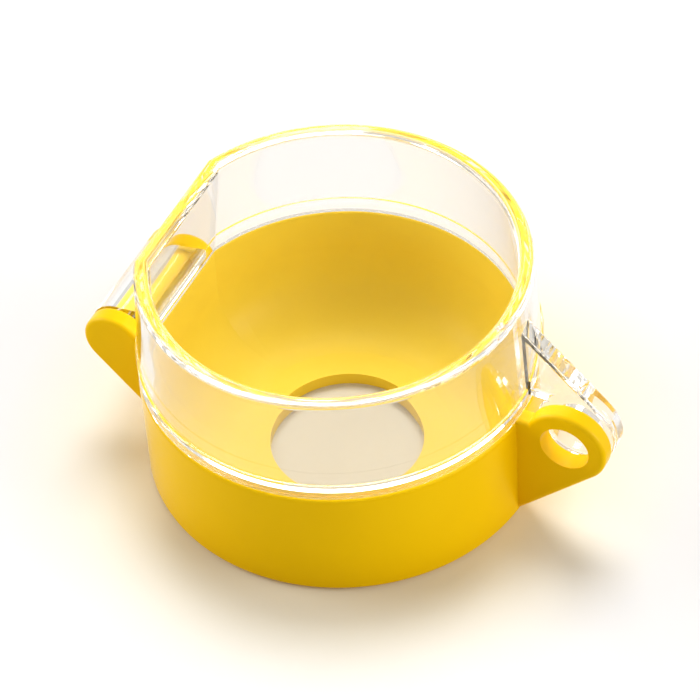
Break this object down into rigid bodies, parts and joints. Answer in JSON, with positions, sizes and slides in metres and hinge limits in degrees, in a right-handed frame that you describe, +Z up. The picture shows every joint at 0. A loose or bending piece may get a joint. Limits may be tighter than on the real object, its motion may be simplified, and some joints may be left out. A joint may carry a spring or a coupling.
{
  "type": "cage feeder cup",
  "caption": "Round moulded feed cup with a flat side and a clear guard ring that swings up on a pinned hinge; a lug and an ear have aligned holes that could take a locking peg.",
  "frame": {"origin": "centre of the floor hole at the cup's underside, where the cup's round axis meets the ground", "axes": "+Z up, +X from the cup's axis towards the latch lug, away from the flat side and the hinge; Y along the hinge pin"},
  "size_m": [0.0846, 0.0624, 0.0398],
  "materials": {
    "yellow_plastic": "gloss",
    "clear_plastic": "gloss",
    "pin_plastic": "gloss"
  },
  "bodies": {
    "cup": {"feeder_cup": "yellow_plastic", "hinge_pin": "pin_plastic"},
    "guard": {"guard_ring": "clear_plastic"}
  },
  "joints": [
    {"name": "guard_hinge", "type": "hinge", "parent": "cup", "child": "guard", "pos_m": [-0.0339, 0, 0.018], "axis": [0, -1, 0], "range_deg": [0, 120]}
  ]
}
